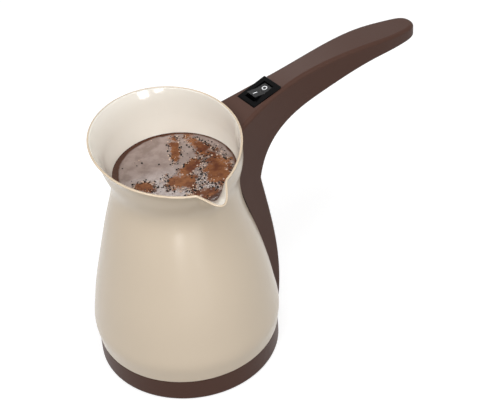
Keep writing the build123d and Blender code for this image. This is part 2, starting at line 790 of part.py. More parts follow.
with BuildPart() as handle_screws:
    for height in handle_screw_heights:
        start = boss_ends[height] + web_thickness
        with BuildSketch(Plane.YZ.offset(start)):
            with Locations((0, height)):
                Circle(screw_radius)
        extrude(amount=-web_thickness - handle_pilot_depth + screw_fit)
        with BuildSketch(Plane.YZ.offset(start)):
            with Locations((0, height)):
                Circle(screw_head_radius)
        extrude(amount=screw_head_height)
handle_screws.part.label = "handle_screws"
export_step(handle_screws.part, "parts/handle_screws.step")

with BuildPart() as cover_screws:
    with BuildSketch(Plane.YZ.offset(cover_head_x)):
        with Locations((0, cover_screw_height)):
            Circle(screw_radius)
    extrude(amount=-cover_screw_length)
    with BuildSketch(Plane.YZ.offset(cover_head_x)):
        with Locations((0, cover_screw_height)):
            Circle(screw_head_radius)
    extrude(amount=cover_head_height)
    with BuildSketch(Plane.XY.offset(arm_head_height)):
        with Locations((cover_screw_x, 0)):
            Circle(screw_radius)
    extrude(amount=cover_screw_length)
    with BuildSketch(Plane.XY.offset(arm_head_height)):
        with Locations((cover_screw_x, 0)):
            Circle(screw_head_radius)
    extrude(amount=-cover_head_height)
cover_screws.part.label = "cover_screws"
export_step(cover_screws.part, "parts/cover_screws.step")

# ---------------------------------------------------------------- switch
with BuildPart() as switch_housing:
    with BuildSketch(switch_plane):
        RectangleRounded(bezel_length, bezel_width, bezel_round)
    extrude(amount=bezel_thickness)
    top_edges = switch_housing.faces().sort_by(Axis.Z)[-1].edges()
    chamfer(top_edges, length=bezel_thickness / 4)
    with BuildSketch(switch_plane):
        Rectangle(housing_length, housing_width)
    extrude(amount=-housing_depth)
    with BuildSketch(switch_plane.offset(bezel_thickness)):
        Rectangle(well_length, well_width)
    extrude(amount=-bezel_thickness - housing_depth + housing_floor, mode=Mode.SUBTRACT)
    with BuildSketch(pivot_side):
        Circle(pivot_radius + screw_fit / 2)
    extrude(amount=housing_width, both=True, mode=Mode.SUBTRACT)
    with BuildSketch(switch_plane.offset(-housing_depth)):
        with Locations((0, 0), (contact_x, 0)):
            Rectangle(blade_thickness + screw_fit, blade_width + screw_fit)
    extrude(amount=housing_floor, mode=Mode.SUBTRACT)
switch_housing.part.label = "switch_housing"
export_step(switch_housing.part, "parts/switch_housing.step")

with BuildPart() as rocker:
    with BuildSketch(rocker_side):
        with BuildLine():
            Polyline(
                (-rocker_length / 2, rocker_top),
                (0, rocker_top - rocker_dip),
                (rocker_length / 2, rocker_top),
                (rocker_foot_length / 2, rocker_top - rocker_dip - rocker_depth),
                (-rocker_foot_length / 2, rocker_top - rocker_dip - rocker_depth),
                close=True,
            )
        make_face()
        Circle(pivot_radius + pivot_fit, mode=Mode.SUBTRACT)
    extrude(amount=rocker_width / 2, both=True)
    # guide of the plunger
    with BuildSketch(rocker_plane.offset(rocker_bottom)):
        Circle(guide_radius)
    extrude(amount=-guide_length)
    with BuildSketch(rocker_plane.offset(rocker_bottom - guide_length)):
        Circle(plunger_radius + pivot_fit)
    extrude(amount=guide_length + bore_depth, mode=Mode.SUBTRACT)
rocker.part.label = "rocker"
export_step(rocker.part, "parts/rocker.step")

with BuildPart() as rocker_pivot:
    with BuildSketch(pivot_side):
        Circle(pivot_radius)
    extrude(amount=(housing_width - screw_fit) / 2, both=True)
rocker_pivot.part.label = "rocker_pivot"
export_step(rocker_pivot.part, "parts/rocker_pivot.step")

with BuildPart() as plunger:
    with BuildSketch(rocker_plane.offset(-plunger_reach)):
        Circle(plunger_radius)
    extrude(amount=plunger_length)
    tip_edge = plunger.edges().filter_by(GeomType.CIRCLE).group_by(Axis.Z)[0]
    fillet(tip_edge, radius=plunger_radius / 2)
plunger.part.label = "plunger"
export_step(plunger.part, "parts/plunger.step")

spring_room = rocker_bottom + bore_depth + plunger_reach - plunger_length
with BuildPart() as plunger_spring:
    with BuildLine(rocker_plane.offset(plunger_length - plunger_reach + spring_wire_radius)):
        coil = Helix(
            pitch=(spring_room - 3 * spring_wire_radius) / spring_turns,
            height=spring_room - 3 * spring_wire_radius,
            radius=plunger_radius - spring_wire_radius,
        )
    with BuildSketch(Plane(origin=coil @ 0, z_dir=coil % 0)):
        Circle(spring_wire_radius)
    sweep()
plunger_spring.part.label = "plunger_spring"
export_step(plunger_spring.part, "parts/plunger_spring.step")

with BuildPart() as contact_lever:
    with BuildSketch(lever_plane):
        Rectangle(lever_length, lever_width)
    extrude(amount=lever_thickness)
contact_lever.part.label = "contact_lever"
export_step(contact_lever.part, "parts/contact_lever.step")

with BuildPart() as switch_terminals:
    for blade_x, blade_top in ((0, lever_foot - lever_gap), (contact_x, contact_top)):
        with BuildSketch(switch_plane.offset(blade_top)):
            with Locations((blade_x, 0)):
                Rectangle(blade_thickness, blade_width)
        extrude(amount=-blade_top - housing_depth - blade_length)
    top_edges = switch_terminals.faces().filter_by(switch_plane).sort_by(Axis.Z)[-2:].edges()
    fillet(top_edges.filter_by(Axis.Y), radius=blade_round)
switch_terminals.part.label = "switch_terminals"
export_step(switch_terminals.part, "parts/switch_terminals.step")

# ---------------------------------------------------------------- wires
near_tip, far_tip = [
    switch_plane.from_local_coords((x, y, -housing_depth - blade_length))
    for x, y in ((0, blade_offset / 2), (contact_x, -blade_offset / 2))
]
tab_top = contact_bottom + contact_length + socket_wall + contact_tab_height
terminal_bottom = element_height - element_tube_radius - element_tail_drop - terminal_length
terminal_middle = terminal_bottom + terminal_length / 2
terminal_x, terminal_y = (ring @ 0).X, (ring @ 0).Y
wire_gap = wire_radius + end_gap
thermostat_tab_height = thermostat_bottom + thermostat_height / 3 + terminal_thickness / 2
fuse_end = fuse_length / 2 + fuse_lead_length + end_gap


def riser(side):
    """Points of a wire up the hollow handle, led along y = side."""
    return (
        (seam_radius, side, wire_notch_bottom + wire_notch_height / 2),
        (spine_belly_x - riser_inset, side, seam_height),
        (spine_belly_x - riser_inset, side, spine_belly_height),
        (spine_mid_x - riser_inset, side, spine_mid_height),
        (kink_x - riser_inset, side, (kink_height + spine_mid_height) / 2 + riser_inset),
        (kink_x - riser_inset, side, kink_height + riser_inset),
        (kink_x, side, neck_height + wire_radius),
        (switch_x, side + blade_offset, neck_height + riser_rise),
    )


line_route = [
    (line_tab_circle, -contact_tab_radius - wire_gap, tab_top - wire_radius),
    (socket_radius + socket_wall + 2 * wire_radius, line_wire_y, tab_top - wire_radius),
    (boss_circle - 2 * boss_radius, line_wire_y, wire_notch_bottom + wire_notch_height / 2),
    *riser(line_wire_y),
    tuple(far_tip - Vector(0, 0, wire_lead)),
    tuple(far_tip - Vector(0, 0, end_gap)),
]
switched_route = [
    (terminal_x - wire_gap - terminal_thickness / 2, -terminal_y, terminal_middle),
    (terminal_x - wire_gap - terminal_thickness / 2, -2 * terminal_y, terminal_middle),
    (-socket_flange_radius / 2, clamp_inner_radius - wire_gap, terminal_bottom),
    (socket_flange_radius / 2, clamp_inner_radius - 3 * wire_gap, terminal_bottom),
    (clamp_inner_radius, -switched_wire_y, terminal_bottom),
    *riser(switched_wire_y),
    tuple(near_tip - Vector(0, 0, wire_lead)),
    tuple(near_tip - Vector(0, 0, end_gap)),
]
earth_wire_heights = (tab_top - wire_radius, thermostat_bottom, diffuser_bottom - end_gap)
earth_route = [
    (-earth_shank_radius - wire_gap, 0, tab_top - wire_radius),
    *(
        (-thermostat_radius * x, thermostat_radius * y, height)
        for (x, y), height in zip(earth_wire_turns, earth_wire_heights)
    ),
]
for name, route in (
    ("line_wire", line_route),
    ("switched_wire", switched_route),
    ("earth_wire", earth_route),
):
    with BuildPart() as wire:
        path = wire_path(route)
        with BuildSketch(Plane(origin=path @ 0, z_dir=path % 0)):
            Circle(wire_radius)
        sweep(path=path)
    wire.part.label = name
    export_step(wire.part, f"parts/{name}.step")

tab_reach = thermostat_radius + thermostat_tab + wire_gap
neutral_routes = (
    # from the connector to the fuse
    (
        (0, -neutral_tab_circle - contact_tab_radius - wire_gap, tab_top - wire_radius),
        (fuse_circle / 2, -fuse_end - 2 * wire_radius, tab_top - wire_radius / 2),
        (fuse_circle * fuse_wire_turn, -fuse_end - 4 * wire_radius, thermostat_bottom),
        (fuse_circle, -fuse_end - 2 * wire_radius, fuse_height - end_gap),
        (fuse_circle, -fuse_end, fuse_height),
    ),
    # from the fuse to the thermostat
    (
        (fuse_circle, fuse_end, fuse_height),
        (fuse_circle - wire_radius, fuse_end + 3 * wire_radius, fuse_height - end_gap),
        (fuse_circle / 2, tab_reach + wire_radius, thermostat_tab_height),
        (wire_radius, tab_reach, thermostat_tab_height),
    ),
    # from the thermostat to the heating element
    (
        (-wire_radius, -tab_reach, thermostat_tab_height),
        (-fuse_circle / 2, -tab_reach - 2 * wire_radius, thermostat_bottom),
        (-fuse_circle, -tab_reach, terminal_middle + 2 * wire_radius),
        (terminal_x + wire_gap + terminal_thickness / 2, terminal_y, terminal_middle),
    ),
)
with BuildPart() as neutral_wires:
    for route in neutral_routes:
        path = wire_path(route)
        with BuildSketch(Plane(origin=path @ 0, z_dir=path % 0)):
            Circle(wire_radius)
        sweep(path=path)
neutral_wires.part.label = "neutral_wires"
export_step(neutral_wires.part, "parts/neutral_wires.step")
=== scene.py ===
"""Electric Turkish coffee maker: its finishes, the smooth wall of its pot, and the stage.

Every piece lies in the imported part's own frame. Settings are in metres and radians, and the
functions that work out a shape count in millimetres.
"""
import json
from math import cos, pi, radians, sin

import bpy
import numpy as np
from mathutils import Matrix, Vector


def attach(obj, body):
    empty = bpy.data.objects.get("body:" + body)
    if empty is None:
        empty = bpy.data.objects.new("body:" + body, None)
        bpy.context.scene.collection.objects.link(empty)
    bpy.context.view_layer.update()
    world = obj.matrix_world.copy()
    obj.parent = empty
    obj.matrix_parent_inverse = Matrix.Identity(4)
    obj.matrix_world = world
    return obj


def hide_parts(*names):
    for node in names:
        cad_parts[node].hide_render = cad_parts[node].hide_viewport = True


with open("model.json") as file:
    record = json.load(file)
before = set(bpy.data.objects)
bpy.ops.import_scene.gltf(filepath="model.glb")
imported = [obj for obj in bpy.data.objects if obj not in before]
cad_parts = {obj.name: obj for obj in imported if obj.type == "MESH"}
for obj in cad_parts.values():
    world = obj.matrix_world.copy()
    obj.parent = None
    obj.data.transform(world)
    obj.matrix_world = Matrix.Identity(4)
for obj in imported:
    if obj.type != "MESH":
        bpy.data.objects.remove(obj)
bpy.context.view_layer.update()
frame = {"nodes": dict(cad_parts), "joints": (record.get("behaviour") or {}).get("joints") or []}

bl_info = {
    "name": "Electric Turkish Coffee Maker",
    "version": (1, 0, 0),
    "blender": (4, 5, 0),
    "location": "3D View > Sidebar > Coffee Maker",
    "description": "Dresses the packed coffee maker with its finishes and sets the stage",
    "category": "Object",
}

MM = 0.001
NODES = frame["nodes"]


def linear(code):
    """An sRGB colour written as #rrggbb, as the linear RGBA that the shaders take."""
    channels = [int(code[i:i + 2], 16) / 255 for i in (1, 3, 5)]
    return (*(c / 12.92 if c <= 0.04045 else ((c + 0.055) / 1.055) ** 2.4 for c in channels), 1.0)


# ------------------------------------------------------------------ settings
def length(name, value, description):
    """A length in metres, given in millimetres."""
    return bpy.props.FloatProperty(
        name=name, description=description, default=value * MM, unit="LENGTH", precision=5)


def angle(name, value, description):
    """An angle in radians, given in degrees."""
    return bpy.props.FloatProperty(
        name=name, description=description, default=radians(value), subtype="ANGLE")


def colour(name, value, description):
    """A colour, given as sRGB #rrggbb."""
    return bpy.props.FloatVectorProperty(
        name=name, description=description, default=linear(value), size=4, subtype="COLOR",
        min=0.0, max=1.0)


class PotSettings(bpy.types.PropertyGroup):
    """Shape of the pot's wall, collar and spout."""

    wall: length("Wall", 2.2, "Thickness of the moulded wall")
    seam_height: length("Seam Height", 14.6, "Where the pot stands on its base ring")
    rim_height: length("Rim Height", 147.7, "Middle of the rim above the table")
    rim_radius: length("Rim Radius", 41.8, "Radius of the rim away from the spout")
    rim_lean: length("Rim Lean", -2.3, "How far the rim leans towards the handle")
    rim_thickness: length("Rim Thickness", 1.1, "The wall thins to this at the rim")
    rim_rise_back: angle("Rise to the Back", 7.2, "Tilt of the rim away from the spout")
    rim_rise_handle: angle("Rise to the Handle", 1.6, "Tilt of the rim towards the handle")
    spout_azimuth: angle("Spout Azimuth", -91.4, "Direction of the spout from the handle")
    beak_reach: length("Beak Reach", 8.8, "How far the narrow beak stands out of the collar")
    beak_half_angle: angle("Beak Half Angle", 14.5, "Half the angle that the beak takes")
    beak_dip: length("Beak Dip", 3.9, "How far the beak hangs below the rim")
    bulge_reach: length("Bulge Reach", 2.8, "Bulge of the collar at the beak's root")
    front_dip: length("Front Dip", 3.0, "How far the rim hangs down round the spout")
    side_tuck: length("Side Tuck", 1.4, "How far the rim is pulled in opposite the handle")
    spout_depth: length("Spout Depth", 34.0, "Height over which the spout fades into the neck")
    ledge_height: length("Ledge Height", 28.4, "Underside of the ledge over the heater plate")
    ledge_thickness: length("Ledge Thickness", 2.6, "Thickness of that ledge")
    ledge_radius: length("Ledge Opening", 38.0, "Radius of the opening over the plate")


class FinishSettings(bpy.types.PropertyGroup):
    """Colours of the mouldings."""

    cream: colour("Cream", "#DDCCB5", "Colour of the pot")
    # the inside's paler colour is painted light: it stands in for the light that brightens the
    # collar's inside
    inside: colour("Inside", "#F8F2E7", "Colour of the pot's inside and collar")
    brown: colour("Brown", "#51382F", "Colour of the handle and the base")
    black: colour("Black", "#050506", "Colour of the switch's frame")
    rocker: colour("Rocker", "#0D0D0F", "Colour of the rocker")
    mark: colour("Mark", "#F4F6F8", "Colour of the printed marks")


class CoffeeSettings(bpy.types.PropertyGroup):
    """The coffee that the pot is shown with. It isn't part of the object."""

    level: length("Level", 123.6, "Height of the coffee above the table")
    # the skin's pale grey is partly its own colour and partly painted reflection of the bright
    # surroundings
    liquid: colour("Liquid", "#9C8B84", "Colour of the coffee's pale skin")
    foam: colour("Foam", "#5A2D16", "Colour of the foam patches")
    edge: colour("Edge", "#4A2A1B", "Colour along the wall")
    bubbles: bpy.props.IntProperty(
        name="Bubbles", description="Number of bubbles on the foam", default=1100, min=0)


class StageSettings(bpy.types.PropertyGroup):
    """Place and lens of the camera."""

    azimuth: angle("Azimuth", -35.0, "Camera direction about the pot's axis")
    elevation: angle("Elevation", 39.31, "Camera height as an angle")
    roll: angle("Roll", -4.37, "Turn of the camera about its own axis")
    distance: length("Distance", 880.2, "From the camera to the aim, along its view")
    aim_height: length("Aim Height", 14.55, "Height of the aim, a point on the pot's axis")
    aim_right: length("Aim Right", -36.0, "Aim to the right of the view's middle")
    aim_up: length("Aim Up", -64.1, "Aim above the view's middle")
    lens: bpy.props.FloatProperty(
        name="Lens", description="Focal length for a 36 mm sensor", default=108.0, unit="CAMERA")


class CoffeeMakerSettings(bpy.types.PropertyGroup):
    """All the settings of the coffee maker."""

    pot: bpy.props.PointerProperty(type=PotSettings, name="Pot")
    finish: bpy.props.PointerProperty(type=FinishSettings, name="Finish")
    coffee: bpy.props.PointerProperty(type=CoffeeSettings, name="Coffee")
    stage: bpy.props.PointerProperty(type=StageSettings, name="Stage")


# ------------------------------------------------------------------ mesh helpers
def even_turns(count):
    """Angles that divide a full turn evenly, from zero."""
    return np.linspace(0, 2 * pi, count, endpoint=False)


def grid_faces(rows, columns, close_rows=False, close_columns=False):
    """Quads between neighbouring points of a grid whose points are numbered row by row."""
    i = np.arange(rows if close_rows else rows - 1)[:, None]
    j = np.arange(columns if close_columns else columns - 1)[None]
    row, next_row = i * columns, (i + 1) % rows * columns
    next_j = (j + 1) % columns
    corners = (row + j, row + next_j, next_row + next_j, next_row + j)
    return np.stack(np.broadcast_arrays(*corners), -1).reshape(-1, 4)


def surface_piece(name, points, faces, materials, smooth=True):
    """A mesh object from points in metres and faces that all have the same number of sides."""
    mesh = bpy.data.meshes.new(name)
    sides = faces.shape[1]
    mesh.vertices.add(len(points))
    mesh.vertices.foreach_set("co", np.asarray(points, np.float32).ravel())
    mesh.loops.add(faces.size)
    mesh.loops.foreach_set("vertex_index", faces.astype(np.int32).ravel())
    mesh.polygons.add(len(faces))
    mesh.polygons.foreach_set("loop_start", np.arange(len(faces), dtype=np.int32) * sides)
    mesh.update(calc_edges=True)
    mesh.polygons.foreach_set("use_smooth", np.full(len(faces), smooth))
    mesh.validate()
    for material in materials:
        mesh.materials.append(material)
    piece = bpy.data.objects.new(name, mesh)
    bpy.context.scene.collection.objects.link(piece)
    return piece


def point_values(piece, name, values):
    """A number at each point of a piece, for its material to read."""
    layer = piece.data.attributes.new(name, "FLOAT", "POINT")
    layer.data.foreach_set("value", np.asarray(values, np.float32).ravel())


def natural_curve(knots, values, places):
    """The natural cubic spline: between two knots it is the cubic whose second derivatives at
    the knots make the slopes agree there and vanish at both ends."""
    step = np.diff(knots)
    system = np.eye(len(knots))
    right = np.zeros_like(values)
    inner = np.arange(1, len(knots) - 1)
    system[inner, inner - 1] = step[:-1]
    system[inner, inner] = 2 * (step[:-1] + step[1:])
    system[inner, inner + 1] = step[1:]
    slope = np.diff(values, axis=0) / step[:, None]
    right[1:-1] = 6 * (slope[1:] - slope[:-1])
    bend = np.linalg.solve(system, right)
    k = np.clip(np.searchsorted(knots, places, side="right") - 1, 0, len(knots) - 2)
    after = (places - knots[k])[:, None]
    width = step[k][:, None]
    before = width - after
    return ((bend[k] * before ** 3 + bend[k + 1] * after ** 3) / (6 * width)
            + (values[k] / width - bend[k] * width / 6) * before
            + (values[k + 1] / width - bend[k + 1] * width / 6) * after)


# ------------------------------------------------------------------ material helpers
# sockets of a Mix node that mixes colours: each name is shared by several, so they go by number
MIX_SHARE, MIX_A, MIX_B, MIXED = 0, 6, 7, 2


def add_node(tree, kind, inputs=None, **settings):
    """Adds a node with its settings. Each input, by its name, or by its number where several
    share a name, gets a value or a link from a socket."""
    node = tree.nodes.new(kind)
    for name, value in settings.items():
        setattr(node, name, value)
    for socket, value in (inputs or {}).items():
        if isinstance(value, bpy.types.NodeSocket):
            tree.links.new(value, node.inputs[socket])
        else:
            node.inputs[socket].default_value = value
    return node


def new_finish(name, base, roughness, metallic=0.0, **more):
    """A material with one Principled shader, its tree and that shader."""
    material = bpy.data.materials.new(name)
    material.use_nodes = True
    tree = material.node_tree
    shader = tree.nodes["Principled BSDF"]
    values = {"Base Color": base, "Roughness": roughness, "Metallic": metallic, **more}
    for socket, value in values.items():
        shader.inputs[socket].default_value = value
    return material, tree, shader


def grain(tree, shader, scale, height, roughness, stretch=(1, 1, 1)):
    """Noise in object coordinates with this many cells per metre. It lifts the surface by up to
    the height, in metres, and spreads the roughness over the two values given."""
    place = add_node(tree, "ShaderNodeTexCoord")
    stretched = add_node(tree, "ShaderNodeMapping", {
        "Vector": place.outputs["Object"], "Scale": stretch})
    noise = add_node(tree, "ShaderNodeTexNoise", {
        "Vector": stretched.outputs["Vector"], "Scale": scale, "Detail": 3.0})
    bump = add_node(tree, "ShaderNodeBump", {
        "Height": noise.outputs["Fac"], "Distance": height, "Strength": 1.0})
    tree.links.new(bump.outputs["Normal"], shader.inputs["Normal"])
    spread = add_node(tree, "ShaderNodeMapRange", {
        "Value": noise.outputs["Fac"], "From Min": 0.3, "From Max": 0.7,
        "To Min": roughness[0], "To Max": roughness[1]})
    tree.links.new(spread.outputs["Result"], shader.inputs["Roughness"])


def plastic(name, base, roughness, scale, height, **more):
    """Moulded plastic or rubber: the fine grain of its mould, and a roughness that varies with
    it by about a tenth."""
    material, tree, shader = new_finish(name, base, roughness, **{"IOR": 1.53, **more})
    grain(tree, shader, scale, height, (roughness * 0.9, roughness * 1.12))
    return material


def metal(name, base, roughness, scale, height, stretch=(1, 1, 1)):
    """Bare metal: its working marks, and a roughness that varies with them by about a fifth."""
    material, tree, shader = new_finish(name, base, roughness, metallic=1.0)
    grain(tree, shader, scale, height, (roughness * 0.8, roughness * 1.25), stretch)
    return material


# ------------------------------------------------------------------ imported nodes
def dress(names, material):
    """Gives CAD nodes a material."""
    for name in names:
        mesh = NODES[name].data
        mesh.materials.clear()
        mesh.materials.append(material)


# ------------------------------------------------------------------ the pot
# height, radius and lean of the wall below its rim, in millimetres
WALL_STATIONS = (
    (14.6, 52.2, 0.0),  # seam
    (20.0, 52.96, 0.0),
    (24.2, 53.55, 0.0),  # belly
    (28.8, 53.5, 0.0),
    (34.0, 52.75, 0.0),
    (45.4, 50.9, 0.0),
    (73.4, 44.7, 0.0),  # shoulder
    (103.4, 37.0, 0.0),  # throat
    (119.4, 35.4, 1.9),  # neck
    (133.4, 38.6, 0.95),  # flare
    (141.5, 39.9, -0.6),
)
THROAT = 7  # the station above which the collar starts to lean and its rim's tilt comes in
# the wall's grid: points round the pot, rows up its outer side, steps round the rim's edge
WALL_COLUMNS, WALL_ROWS, EDGE_STEPS = 288, 150, 12
# powers of the raised cosines: the higher, the narrower
BEAK_POWER, BULGE_POWER, TUCK_POWER, DIP_POWER = 0.95, 17, 9, 7
# millimetres: the height over which the wall thins to its rim, and the bevel of its corners
RIM_TAPER, BEVEL = 14, 0.4
# millimetres: the inner wall's rows that are nearer to the ledge than this are left out
CLEAR_ABOVE, CLEAR_BELOW = 1.0, 0.5


def wall_stations(pot):
    """Height, radius and lean of the wall at its stations, the rim last, in millimetres, and
    the length along the wall at which each lies."""
    rim = (pot.rim_height / MM, pot.rim_radius / MM, pot.rim_lean / MM)
    stations = np.array((*WALL_STATIONS, rim))
    steps = np.hypot(*np.diff(stations[:, :2], axis=0).T)
    return stations, np.concatenate(((0,), np.cumsum(steps)))


def raised_cosine(turn, power):
    """((1 + cos a) / 2) to a power: one at a = 0, and narrower as the power grows."""
    return ((1 + np.cos(turn)) / 2) ** power


def pot_surface(pot, turns, places):
    """Outer wall of the pot, in millimetres. Height, radius r and lean at length s along the
    wall are natural cubic splines through its stations. A point at angle a is at radius
    r(s) + fade(s) * (beak(a) + bulge(a) - tuck(a)) from the leaning axis. Its height adds the
    rim's tilt, which comes in smoothly above the throat, and takes off fade(s) times the dips.
    Beak, bulge, tuck and dips are raised cosines; fade grows as a square."""
    stations, knots = wall_stations(pot)
    height, radius, lean = natural_curve(knots, stations, places).T[:, :, None]
    rim, throat, depth = pot.rim_height / MM, WALL_STATIONS[THROAT][0], pot.spout_depth / MM
    turn = (turns - pot.spout_azimuth + pi) % (2 * pi) - pi
    beak = raised_cosine(pi * np.clip(turn / pot.beak_half_angle, -1, 1), BEAK_POWER)
    reach = (pot.beak_reach * beak + pot.bulge_reach * raised_cosine(turn, BULGE_POWER)
             - pot.side_tuck * raised_cosine(turns - pi, TUCK_POWER)) / MM
    dip = (pot.beak_dip * beak + pot.front_dip * raised_cosine(turn, DIP_POWER)) / MM
    fade = np.clip((height - rim + depth) / depth, 0, 1) ** 2
    blend = np.clip((height - throat) / (rim - throat), 0, 1)
    tilt = blend * blend * (3 - 2 * blend)
    x, y = (radius + fade * reach) * np.stack((np.cos(turns), np.sin(turns)))[:, None]
    z = height - fade * dip + tilt * (sin(pot.rim_rise_handle) * x + sin(pot.rim_rise_back) * y)
    return np.stack((x + lean, y, z), -1)


def wall_normals(points):
    """Outward unit normals of a grid that closes in its second direction: the cross product of
    its steps round the pot and up it."""
    around = np.roll(points, -1, 1) - np.roll(points, 1, 1)
    up = np.gradient(points, axis=0)
    normal = np.cross(around, up)
    return normal / np.linalg.norm(normal, axis=-1, keepdims=True)


def rim_edge(outer, inner, normal):
    """Round edge between the top rows of the outer and the inner wall: half circles that are as
    wide as the wall and rise along it. The rows leave out both ends, which the walls have."""
    swing = np.linspace(0, pi, EDGE_STEPS)[1:-1, None, None]
    along = np.cross(normal, np.roll(outer, -1, 0) - np.roll(outer, 1, 0))
    along /= -np.linalg.norm(along, axis=-1, keepdims=True)
    middle = (outer + inner) / 2
    half = np.linalg.norm(outer - inner, axis=-1, keepdims=True) / 2
    return middle + half * (np.cos(swing) * normal + np.sin(swing) * along)


def level_ring(turns, radius, height):
    """A level circle about the pot's axis, as one row of points."""
    x, y = radius * np.cos(turns), radius * np.sin(turns)
    return np.stack((x, y, np.full_like(turns, height)), -1)


def ledge_rows(turns, side, opening, low, high):
    """The ledge over the heater plate: level circles from the wall to the opening and back
    underneath, with bevelled corners."""
    return np.stack([level_ring(turns, radius, height) for radius, height in (
        (side, high + BEVEL), (side - BEVEL, high), (opening + BEVEL, high),
        (opening, high - BEVEL), (opening, low + BEVEL), (opening + BEVEL, low),
        (side - BEVEL, low), (side, low - BEVEL))])


class COFFEEMAKER_OT_pot(bpy.types.Operator):
    """Builds the smooth wall of the pot, with its collar, spout and ledge."""

    bl_idname = "coffeemaker.pot"
    bl_label = "Pot Wall"

    def execute(self, context):
        pot = context.scene.coffee_maker.pot
        finish = context.scene.coffee_maker.finish
        wall, rim_wall = pot.wall / MM, pot.rim_thickness / MM
        turns = even_turns(WALL_COLUMNS)
        end = wall_stations(pot)[1][-1]
        places = np.linspace(0, end - rim_wall / 2, WALL_ROWS)
        outer = pot_surface(pot, turns, places)
        normal = wall_normals(outer)
        thickness = rim_wall + (wall - rim_wall) * np.clip((end - places) / RIM_TAPER, 0, 1)
        inner = outer - thickness[:, None, None] * normal
        edge = rim_edge(outer[-1], inner[-1], normal[-1])
        low, high = pot.ledge_height / MM, (pot.ledge_height + pot.ledge_thickness) / MM
        above = inner[inner[:, 0, 2] > high + CLEAR_ABOVE][::-1]
        below = inner[inner[:, 0, 2] < low - CLEAR_BELOW][::-1]
        ledge = ledge_rows(turns, np.hypot(*above[-1][0, :2]), pot.ledge_radius / MM, low, high)
        # the foot is flat, and both walls end a bevel above it
        seam = pot.seam_height / MM
        foot = np.stack((level_ring(turns, np.hypot(*inner[0][0, :2]) + BEVEL, seam),
                         level_ring(turns, np.hypot(*outer[0][0, :2]) - BEVEL, seam)))
        outer[0, :, 2] += BEVEL
        below[-1, :, 2] += BEVEL
        rows = np.concatenate((outer, edge, above, ledge, below, foot))
        faces = grid_faces(len(rows), len(turns), close_rows=True, close_columns=True)
        # moulded ABS, glossy: a soft broad highlight under a thin clear reflection
        cream = plastic("glossy_cream_abs", finish.cream, 0.24, 900, 0.00001, IOR=1.46)
        # the same plastic, glossier, and painted paler: the paler colour is painted light that
        # brightens the inside of the collar
        pale = plastic("pale_abs_painted_light", finish.inside, 0.12, 900, 0.00001,
                       **{"IOR": 1.46, "Coat Weight": 0.35, "Coat Roughness": 0.1})
        piece = surface_piece("pot_wall", rows.reshape(-1, 3) * MM, faces, [cream, pale])
        # cream outside, over the rim's edge and under the foot; inside, the paler colour of
        # painted light
        row = np.repeat(np.arange(len(rows)), len(turns))
        outside = (row < len(outer) + len(edge)) | (row >= len(rows) - len(foot) - 1)
        slots = np.where(outside, 0, 1).astype(np.int32)
        piece.data.polygons.foreach_set("material_index", slots)
        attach(piece, "pot")
        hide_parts("pot_body")
        return {"FINISHED"}


# ------------------------------------------------------------------ handle and base
class COFFEEMAKER_OT_mouldings(bpy.types.Operator):
    """Finishes the brown mouldings: handle, its cover, base ring and bottom cover."""

    bl_idname = "coffeemaker.mouldings"
    bl_label = "Brown Mouldings"

    def execute(self, context):
        finish = context.scene.coffee_maker.finish
        # moulded ABS with a fine spark-eroded grain: satin, with a weak broad sheen
        brown = plastic("satin_brown_abs", finish.brown, 0.42, 1600, 0.00002,
                        **{"Specular IOR Level": 0.1})
        dress(("handle_shell", "handle_cover", "base_ring", "bottom_cover"), brown)
        return {"FINISHED"}


# ------------------------------------------------------------------ switch
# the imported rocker, in degrees: the slope of its frame, and its own turn from that at rest
FRAME_SLOPE, REST_TURN = 13.8, 12.0
# and in millimetres: half its length, the height of its top's ends over the pivot, and how far
# the middle of its top is below them
ROCKER_HALF, ROCKER_TOP, ROCKER_DIP = 6.2, 3.1, 0.9
# the marks, in millimetres: their distance from the rocker's middle, the ring's inner and outer
# radius, and half the bar's length and width
MARK_PLACE, RING_RADII, BAR_HALVES = 3.3, (1.0, 1.55), (1.45, 0.32)


def ring_mark():
    """The ring, in millimetres along and across the rocker: circles of its inner and its outer
    radius, with the height of each above the face it is printed on."""
    turn = even_turns(48)
    inner, outer = RING_RADII
    radii = np.array((inner, outer, outer, inner))[:, None]
    return radii * np.cos(turn), radii * np.sin(turn), (0.04, 0.04, -0.02, -0.02)


def bar_mark():
    """The bar, in the same way: superellipses, whose cosine and sine keep their sign and are
    raised to a small power, which makes them nearly rectangles. The inner ones are almost a
    point, so that they close the bar."""
    turn = even_turns(32)
    half_length, half_width = BAR_HALVES
    power = 0.3
    share = np.array((0.02, 1.0, 1.0, 0.02))[:, None]
    along = share * half_length * np.sign(np.cos(turn)) * abs(np.cos(turn)) ** power
    across = share * half_width * np.sign(np.sin(turn)) * abs(np.sin(turn)) ** power
    return along, across, (0.1, 0.1, -0.1, -0.1)


